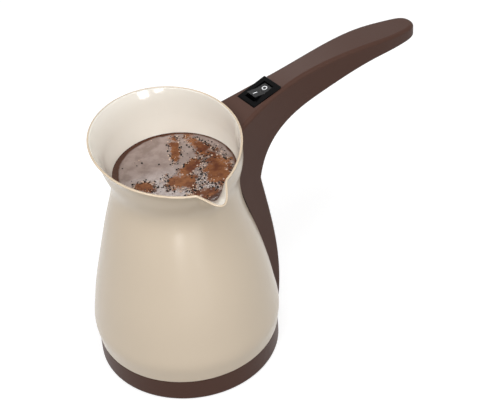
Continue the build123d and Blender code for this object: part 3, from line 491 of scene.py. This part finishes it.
class COFFEEMAKER_OT_switch(bpy.types.Operator):
    """Finishes the rocker switch and prints its two marks."""

    bl_idname = "coffeemaker.switch"
    bl_label = "Rocker Switch"

    def execute(self, context):
        finish = context.scene.coffee_maker.finish
        # moulded nylon: black, with next to no sheen
        dress(("switch_housing",), plastic("black_nylon", finish.black, 0.2, 1200, 0.00001,
                                           **{"Specular IOR Level": 0.05}))
        # the same with more sheen, so that the rocker stands out from its frame
        dress(("rocker", "plunger"), plastic("dark_nylon", finish.rocker, 0.24, 1200, 0.00001,
                                             **{"Specular IOR Level": 0.15}))
        # drawn steel: plain grey with a thin bright line
        dress(("rocker_pivot", "plunger_spring"),
              metal("spring_steel", linear("#A9A9A6"), 0.3, 900, 0.00001))
        # stamped brass with a coat of tin: pale yellow grey
        dress(("contact_lever", "switch_terminals", "element_terminals"),
              metal("tinned_brass", linear("#C9B37A"), 0.32, 700, 0.00001))
        # pad-printed ink: flat white
        ink = plastic("pad_printed_white", finish.mark, 0.5, 3000, 0.000005)
        hinge = next(joint for joint in frame["joints"] if joint["child"] == "rocker")
        pivot = np.array(hinge["pos_m"]) / MM
        tilt = radians(FRAME_SLOPE) - radians(REST_TURN)
        rocker_up = np.array((-sin(tilt), 0.0, cos(tilt)))
        across = np.array((0.0, 1.0, 0.0))
        # each half of the rocker's top is flat and falls to the middle
        for side, shape, (u, v, lift) in ((-1, "bar", bar_mark()), (1, "ring", ring_mark())):
            lie = tilt + side * np.arctan2(ROCKER_DIP, ROCKER_HALF)
            along = np.array((cos(lie), 0.0, sin(lie)))
            up = np.array((-sin(lie), 0.0, cos(lie)))
            middle = pivot + rocker_up * (ROCKER_TOP - ROCKER_DIP) + along * side * MARK_PLACE
            w = np.broadcast_to(np.array(lift)[:, None], u.shape)
            points = middle + u[..., None] * along + v[..., None] * across + w[..., None] * up
            faces = grid_faces(*u.shape, close_rows=True, close_columns=True)[:, ::-1]
            mark = surface_piece(
                f"{shape}_mark", points.reshape(-1, 3) * MM, faces, [ink], smooth=False)
            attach(mark, "rocker")
        return {"FINISHED"}


# ------------------------------------------------------------------ inner parts
# for each finish: metal or plastic, its name, colour, roughness, noise cells per metre and
# height of its marks in metres, and the nodes that have it
WORKS = (
    # sand cast: dull pale grey, a little rough
    (metal, "cast_aluminium", "#B7B7B8", 0.45, 500, 0.00004, ("diffuser_plate",)),
    # pressed and zinc plated: even cool grey
    (metal, "zinc_plated_steel", "#BDBEC0", 0.35, 600, 0.00001, ("clamp_ring",)),
    # headed and nickel plated: bright warm grey
    (metal, "nickel_plated_steel", "#B4B2AC", 0.3, 800, 0.00001,
     ("clamp_screws", "base_screws", "connector_screws", "handle_screws", "cover_screws")),
    # drawn and annealed tube: dark satin grey
    (metal, "annealed_steel_sheath", "#7C7873", 0.42, 700, 0.00002, ("heating_element",)),
    # turned and bare: bright clear yellow
    (metal, "bright_brass", "#D3B673", 0.24, 700, 0.00001,
     ("line_ring", "neutral_ring", "earth_pin")),
    # rolled strip: satin brownish yellow
    (metal, "spring_bronze", "#B99A68", 0.35, 700, 0.00001, ("fuse_clip",)),
    # moulded rubber: dull brick red
    (plastic, "red_silicone_rubber", "#A8503F", 0.6, 900, 0.00002, ("plate_seal",)),
    # pressed resin: satin, nearly black
    (plastic, "phenolic_black", "#1E1C1B", 0.45, 700, 0.00003, ("thermostat",)),
    # drawn can with a coat of tin: bright yellowish grey
    (metal, "tinned_copper_case", "#BFB8A8", 0.3, 700, 0.00001, ("thermal_fuse",)),
    # moulded with glass fibre: satin black, faintly mottled
    (plastic, "black_glass_filled_nylon", "#19191A", 0.45, 900, 0.00003, ("connector_housing",)),
    # moulded rubber: dull dark grey
    (plastic, "black_rubber", "#232323", 0.75, 700, 0.00005, ("rubber_feet",)),
    # extruded silicone, plain and satin
    (plastic, "brown_silicone_lead", "#5A3525", 0.5, 700, 0.00001,
     ("line_wire", "switched_wire")),
    (plastic, "blue_silicone_lead", "#2E5A94", 0.5, 700, 0.00001, ("neutral_wires",)),
    (plastic, "green_yellow_lead", "#8FA23A", 0.5, 700, 0.00001, ("earth_wire",)),
)


class COFFEEMAKER_OT_works(bpy.types.Operator):
    """Finishes the heater, the connector, the wires and the fasteners."""

    bl_idname = "coffeemaker.works"
    bl_label = "Inner Works"

    def execute(self, context):
        # rolled sheet, brushed one way: fine lines that draw the highlight out across them
        dress(("heater_plate",), metal("brushed_stainless_steel", linear("#B9B8B4"), 0.28, 300,
                                       0.00002, stretch=(1, 12, 1)))
        for kind, name, tint, roughness, scale, height, nodes in WORKS:
            dress(nodes, kind(name, linear(tint), roughness, scale, height))
        return {"FINISHED"}


# ------------------------------------------------------------------ coffee (stage prop)
# foam patches: place, half length and half width in millimetres, and turn in degrees
FOAM_PATCHES = (
    (13.5, 16.0, 13.5, 3.2, 58), (25.0, 8.0, 12.5, 4.2, 88), (0.0, -11.5, 10.0, 7.0, 140),
    (20.5, -14.0, 16.0, 8.5, 60), (10.0, -4.0, 10.0, 4.6, 15), (-18.6, -1.0, 6.0, 4.4, 130),
    (4.0, -28.0, 9.0, 5.0, 150))
# rows and points round of the coffee's grid, and of a bubble's
COFFEE_ROWS, COFFEE_COLUMNS = 101, 216
DOME_ROWS, DOME_COLUMNS = 4, 9
# rows of the wall that are searched for the coffee's level
SHORE_ROWS = 400
# millimetres: how far the coffee reaches into the wall, climbs it, and the foam stands up
OVERLAP, CLIMB, FOAM_HEIGHT = 0.15, 0.7, 0.25
# how fast the climb falls off from the wall (0) to the centre (1), and how the foam rises with
# its cover: slope, and height at its border
CLIMB_FALL, FOAM_SLOPE, FOAM_START = 28, 2, 0.3
# millimetres: the dark band round the skin, and how far the skin lies off the coffee's centre,
# towards the handle and the back
BAND, SKIN_X, SKIN_Y = 2.6, 1.6, 0.4
# bubbles: seed and number of the places tried, how far from the foam's border they reach, how
# many stray, and the share kept on the border
SEED, TRIES, BORDER_REACH, STRAY, KEPT = 7, 9000, 0.3, 0.012, 0.75
# and in millimetres: the bare band along the wall, the height of their feet above the coffee,
# the smallest radius and how much more the largest has; last, their height over their radius
BARE_BAND, FEET, SMALLEST, MORE, DOME_HEIGHT = 2.5, 0.12, 0.25, 0.4, 0.8


def foam_cover(x, y):
    """How far a point is inside the foam: the most, over the patches, of one less its distance
    from the patch's middle, counted in the patch's own half length and half width."""
    cover = np.full(np.shape(x), -9.0)
    for middle_x, middle_y, half_length, half_width, turn in FOAM_PATCHES:
        c, s = cos(radians(turn)), sin(radians(turn))
        u = (c * (x - middle_x) + s * (y - middle_y)) / half_length
        v = (c * (y - middle_y) - s * (x - middle_x)) / half_width
        cover = np.maximum(cover, 1 - np.hypot(u, v))
    return cover


def coffee_shore(pot, turns, level):
    """Where the coffee meets the wall: at each angle, the point of the inner wall above the
    throat that is nearest to the coffee's level, moved a little into the wall."""
    knots = wall_stations(pot)[1]
    places = np.linspace(knots[THROAT], knots[-1], SHORE_ROWS)
    outer = pot_surface(pot, turns, places)
    inner = outer - (pot.wall / MM - OVERLAP) * wall_normals(outer)
    nearest = np.argmin(abs(inner[:, :, 2] - level), axis=0)
    return inner[nearest, np.arange(len(turns))]


def pour_coffee(coffee, shore, centre, radius, level):
    """The coffee: copies of its shore that shrink evenly to the centre. Its skin climbs the
    wall as a falling exponential, and the foam stands above it."""
    share = np.linspace(1, 0, COFFEE_ROWS)[:, None]
    x, y = np.moveaxis(centre + (shore[:, :2] - centre)[None] * share[..., None], -1, 0)
    cover = foam_cover(x, y)
    z = (level + CLIMB * np.exp(-(1 - share) * CLIMB_FALL)
         + FOAM_HEIGHT * np.clip(cover * FOAM_SLOPE + FOAM_START, 0, 1))
    points = np.stack((x, y, z), -1).reshape(-1, 3)
    faces = grid_faces(COFFEE_ROWS, len(shore), close_columns=True)
    skin = surface_piece("coffee", points * MM, faces, [coffee_material(coffee)])
    point_values(skin, "foam", cover)
    # the dark liquid shows round the skin, widest opposite the handle
    from_skin = np.hypot(x - centre[0] - SKIN_X, y - centre[1] - SKIN_Y)
    point_values(skin, "skin", radius - BAND - from_skin)


def add_bubbles(coffee, centre, radius, level):
    """Flattened half spheres at random places. The chance that one is kept falls off from the
    border of the foam as a bell curve, so most lie there. The radius grows as the cube of a
    random number, so most are small."""
    draw = np.random.default_rng(SEED)
    tries = draw.uniform(-1, 1, (TRIES, 2)) * radius
    tries = tries[np.hypot(*tries.T) < radius - BARE_BAND] + centre
    border = np.exp(-(foam_cover(*tries.T) / BORDER_REACH) ** 2) + STRAY
    kept = tries[draw.random(len(tries)) < border * KEPT][:coffee.bubbles]
    size = (SMALLEST + MORE * draw.random(len(kept)) ** 3)[:, None, None, None]
    swing = np.linspace(0, pi / 2, DOME_ROWS)[:, None]
    turn = even_turns(DOME_COLUMNS)
    dome = np.stack(np.broadcast_arrays(
        np.cos(swing) * np.cos(turn), np.cos(swing) * np.sin(turn),
        np.sin(swing) * DOME_HEIGHT), -1)
    base = np.column_stack((kept, np.full(len(kept), level + FEET)))[:, None, None]
    domes = (base + size * dome).reshape(-1, 3)
    points_each = DOME_ROWS * DOME_COLUMNS
    one = grid_faces(DOME_ROWS, DOME_COLUMNS, close_columns=True)
    faces = (one + points_each * np.arange(len(kept))[:, None, None]).reshape(-1, 4)
    bubbles = surface_piece("bubbles", domes * MM, faces, [bubble_material(coffee)])
    point_values(bubbles, "tone", np.repeat(draw.random(len(kept)), points_each))


class COFFEEMAKER_OT_coffee(bpy.types.Operator):
    """Fills the pot for the picture. The coffee isn't part of the object."""

    bl_idname = "coffeemaker.coffee"
    bl_label = "Coffee"

    def execute(self, context):
        settings = context.scene.coffee_maker
        level = settings.coffee.level / MM
        shore = coffee_shore(settings.pot, even_turns(COFFEE_COLUMNS), level)
        centre = shore[:, :2].mean(0)
        radius = np.hypot(*(shore[:, :2] - centre).T).mean()
        pour_coffee(settings.coffee, shore, centre, radius, level)
        add_bubbles(settings.coffee, centre, radius, level)
        return {"FINISHED"}


def coffee_material(coffee):
    """Turkish coffee: a pale mottled skin, whose grey is partly painted reflection, with brown
    foam patches, dark along the wall.
    """
    material, tree, shader = new_finish("coffee_and_foam", coffee.liquid, 0.16, IOR=1.34)
    place = add_node(tree, "ShaderNodeTexCoord")
    # ragged borders of the patches: 4 mm noise, spread about zero, is added to the foam's cover
    ragged = add_node(tree, "ShaderNodeTexNoise", {
        "Vector": place.outputs["Object"], "Scale": 230.0, "Detail": 6.0, "Roughness": 0.65})
    foam_place = add_node(tree, "ShaderNodeAttribute", attribute_name="foam")
    raised = add_node(tree, "ShaderNodeMath", {
        0: ragged.outputs["Fac"], 1: 3.2, 2: -1.6}, operation="MULTIPLY_ADD")
    foam_sum = add_node(tree, "ShaderNodeMath", {
        0: foam_place.outputs["Fac"], 1: raised.outputs[0]})
    foam_share = add_node(tree, "ShaderNodeMapRange", {
        "Value": foam_sum.outputs[0], "From Min": -0.1, "From Max": 0.25})
    # foam and skin each run between two tones in 5 mm clouds
    clouds = add_node(tree, "ShaderNodeTexNoise", {
        "Vector": place.outputs["Object"], "Scale": 190.0, "Detail": 5.0})
    cloud_share = add_node(tree, "ShaderNodeMapRange", {
        "Value": clouds.outputs["Fac"], "From Min": 0.38, "From Max": 0.64})
    foam = add_node(tree, "ShaderNodeMix", {
        MIX_SHARE: cloud_share.outputs["Result"], MIX_A: linear("#8A5733"), MIX_B: coffee.foam},
        data_type="RGBA")
    # the skin's two pale greys: partly its own colour, partly painted reflection of the bright
    # surroundings
    pale = add_node(tree, "ShaderNodeMix", {
        MIX_SHARE: cloud_share.outputs["Result"], MIX_A: coffee.liquid, MIX_B: linear("#86746C")},
        data_type="RGBA")
    top = add_node(tree, "ShaderNodeMix", {
        MIX_SHARE: foam_share.outputs["Result"], MIX_A: pale.outputs[MIXED],
        MIX_B: foam.outputs[MIXED]}, data_type="RGBA")
    # the skin ends before the wall in a wavy line, from the clouds spread about zero
    skin_place = add_node(tree, "ShaderNodeAttribute", attribute_name="skin")
    wavy = add_node(tree, "ShaderNodeMath", {
        0: clouds.outputs["Fac"], 1: 2.0, 2: -1.0}, operation="MULTIPLY_ADD")
    skin_sum = add_node(tree, "ShaderNodeMath", {
        0: skin_place.outputs["Fac"], 1: wavy.outputs[0]})
    skin_share = add_node(tree, "ShaderNodeMapRange", {
        "Value": skin_sum.outputs[0], "From Min": -0.4, "From Max": 0.5})
    shown = add_node(tree, "ShaderNodeMix", {
        MIX_SHARE: skin_share.outputs["Result"], MIX_A: coffee.edge, MIX_B: top.outputs[MIXED]},
        data_type="RGBA")
    tree.links.new(shown.outputs[MIXED], shader.inputs["Base Color"])
    # the skin is wet and glossy, the foam is dull
    gloss = add_node(tree, "ShaderNodeMapRange", {
        "Value": foam_share.outputs["Result"], "To Min": 0.17, "To Max": 0.7})
    tree.links.new(gloss.outputs["Result"], shader.inputs["Roughness"])
    fine = add_node(tree, "ShaderNodeTexNoise", {
        "Vector": place.outputs["Object"], "Scale": 1100.0, "Detail": 3.0})
    bump = add_node(tree, "ShaderNodeBump", {
        "Height": fine.outputs["Fac"], "Distance": 0.0002, "Strength": 0.6})
    tree.links.new(bump.outputs["Normal"], shader.inputs["Normal"])
    return material


def bubble_material(coffee):
    """Coffee bubbles: thin wet domes, dark or pale brown, each with a bright spot; the pale brown
    is partly foam colour and partly painted highlight.
    """
    material, tree, shader = new_finish("coffee_bubble", coffee.edge, 0.06, IOR=1.34)
    tone = add_node(tree, "ShaderNodeAttribute", attribute_name="tone")
    pale = add_node(tree, "ShaderNodeMapRange", {
        "Value": tone.outputs["Fac"], "From Min": 0.6, "From Max": 0.8})
    # the pale tone: partly foam colour, partly painted highlight
    shown = add_node(tree, "ShaderNodeMix", {
        MIX_SHARE: pale.outputs["Result"], MIX_A: linear("#160B07"), MIX_B: linear("#CDB3A0")},
        data_type="RGBA")
    tree.links.new(shown.outputs[MIXED], shader.inputs["Base Color"])
    return material


# ------------------------------------------------------------------ stage
# each light: name, turn from the camera and height in degrees, distance from the pot in metres,
# width and height in metres, power in watts, and whether it is only mirrored
LIGHTS = (
    ("key", -35, 45, 1.6, (0.7, 0.7), 8.9, False),
    ("fill", 60, 35, 1.6, (0.8, 0.8), 3.6, False),
    ("top", 20, 68, 1.5, (1.0, 0.7), 7.6, False),
    # two upright strips in front, which the inside of the collar mirrors
    ("strip_left", 28, 11, 1.1, (0.26, 0.42), 6.0, True),
    ("strip_right", 4, 11, 1.1, (0.26, 0.42), 6.0, True),
    # a small card behind, which the coffee mirrors
    ("back_card", 183, 38, 1.5, (0.3, 0.3), 3.0, True),
)
LIGHT_AIM = Vector((0, 0, 0.1))  # the point on the pot's axis that the lights face, in metres
FLOOR_REACH = 4.0  # metres from the pot to the floor's sides
FLOOR_GLOW = 0.74  # what the lit floor lacks to be white


def shown_ray(tree):
    """One for camera, glossy and transmission rays, which see the background as white."""
    path = add_node(tree, "ShaderNodeLightPath")
    seen = add_node(tree, "ShaderNodeMath", {
        0: path.outputs["Is Camera Ray"], 1: path.outputs["Is Glossy Ray"]}, operation="MAXIMUM")
    shown = add_node(tree, "ShaderNodeMath", {
        0: seen.outputs[0], 1: path.outputs["Is Transmission Ray"]}, operation="MAXIMUM")
    return shown.outputs[0]


def area_light(name, place, size, power, only_mirrored):
    """A soft box that faces the pot. One that is only mirrored shows in gloss and lights
    nothing, as a far white card does."""
    data = bpy.data.lights.new(name, "AREA")
    data.shape = "RECTANGLE"
    data.size, data.size_y = size
    data.energy = power
    lamp = bpy.data.objects.new(name, data)
    lamp.location = place
    lamp.rotation_euler = (LIGHT_AIM - Vector(place)).to_track_quat("-Z", "Y").to_euler()
    lamp.visible_camera = False
    lamp.visible_diffuse = not only_mirrored
    bpy.context.scene.collection.objects.link(lamp)


def add_camera(stage):
    """The camera, whose place and turn are worked out from the aim: back along its view, and
    sideways and down by where the aim is in the picture."""
    turn, lift = stage.azimuth, stage.elevation
    view = Vector((-sin(turn) * cos(lift), cos(turn) * cos(lift), -sin(lift)))
    level_right = Vector((cos(turn), sin(turn), 0))
    level_up = level_right.cross(view)
    right = cos(stage.roll) * level_right + sin(stage.roll) * level_up
    up = cos(stage.roll) * level_up - sin(stage.roll) * level_right
    aim = Vector((0, 0, stage.aim_height))
    place = aim - right * stage.aim_right - up * stage.aim_up - view * stage.distance
    data = bpy.data.cameras.new("camera")
    data.lens = stage.lens
    data.sensor_width = 36.0
    camera = bpy.data.objects.new("camera", data)
    camera.matrix_world = Matrix((
        (right.x, up.x, -view.x, place.x), (right.y, up.y, -view.y, place.y),
        (right.z, up.z, -view.z, place.z), (0, 0, 0, 1)))
    bpy.context.scene.collection.objects.link(camera)
    bpy.context.scene.camera = camera


class COFFEEMAKER_OT_stage(bpy.types.Operator):
    """Adds the floor, the surroundings, the camera and the lights."""

    bl_idname = "coffeemaker.stage"
    bl_label = "Stage"

    def execute(self, context):
        stage = context.scene.coffee_maker.stage
        scene = context.scene
        # floor: pale grey paper that keeps the shadow, and glows just enough to show white
        paper, tree, shader = new_finish("white_paper", linear("#B4B4B4"), 0.9)
        shader.inputs["Specular IOR Level"].default_value = 0.0
        shader.inputs["Emission Color"].default_value = (1, 1, 1, 1)
        glow = add_node(tree, "ShaderNodeMath", {
            0: shown_ray(tree), 1: FLOOR_GLOW}, operation="MULTIPLY")
        tree.links.new(glow.outputs[0], shader.inputs["Emission Strength"])
        corners = FLOOR_REACH * np.array(((-1, -1, 0), (1, -1, 0), (1, 1, 0), (-1, 1, 0)))
        one_face = np.array(((0, 1, 2, 3),))
        floor = surface_piece("floor", corners, one_face, [paper], smooth=False)
        # surroundings: white to the camera and in reflections, weaker as light
        world = bpy.data.worlds.new("studio")
        world.use_nodes = True
        sky = world.node_tree
        background = sky.nodes["Background"]
        strength = add_node(sky, "ShaderNodeMapRange", {
            "Value": shown_ray(sky), "To Min": 0.3, "To Max": 1.0})
        sky.links.new(strength.outputs["Result"], background.inputs["Strength"])
        background.inputs["Color"].default_value = (1, 1, 1, 1)
        scene.world = world
        add_camera(stage)
        for name, side, height, distance, size, power, only_mirrored in LIGHTS:
            bearing, rise = stage.azimuth + radians(side), radians(height)
            place = (sin(bearing) * cos(rise) * distance, -cos(bearing) * cos(rise) * distance,
                     sin(rise) * distance)
            area_light(name, place, size, power, only_mirrored)
        scene.view_settings.view_transform = "Standard"
        return {"FINISHED"}


# ------------------------------------------------------------------ panel and run
class COFFEEMAKER_PT_panel(bpy.types.Panel):
    """Lists the coffee maker's pieces."""

    bl_idname = "COFFEEMAKER_PT_panel"
    bl_label = "Coffee Maker"
    bl_space_type = "VIEW_3D"
    bl_region_type = "UI"
    bl_category = "Coffee Maker"

    def draw(self, context):
        for operator in OPERATORS:
            self.layout.operator(operator.bl_idname)


OPERATORS = (COFFEEMAKER_OT_pot, COFFEEMAKER_OT_mouldings, COFFEEMAKER_OT_switch,
             COFFEEMAKER_OT_works, COFFEEMAKER_OT_coffee, COFFEEMAKER_OT_stage)
CLASSES = (PotSettings, FinishSettings, CoffeeSettings, StageSettings, CoffeeMakerSettings,
           *OPERATORS, COFFEEMAKER_PT_panel)


def register():
    """Adds the classes and the settings."""
    for cls in CLASSES:
        bpy.utils.register_class(cls)
    bpy.types.Scene.coffee_maker = bpy.props.PointerProperty(type=CoffeeMakerSettings)


def unregister():
    """Removes the settings and the classes."""
    del bpy.types.Scene.coffee_maker
    for cls in reversed(CLASSES):
        bpy.utils.unregister_class(cls)


def main():
    """Builds everything."""
    register()
    for operator in OPERATORS:
        group, name = operator.bl_idname.split(".")
        getattr(getattr(bpy.ops, group), name)()


if __name__ == "__main__":
    main()
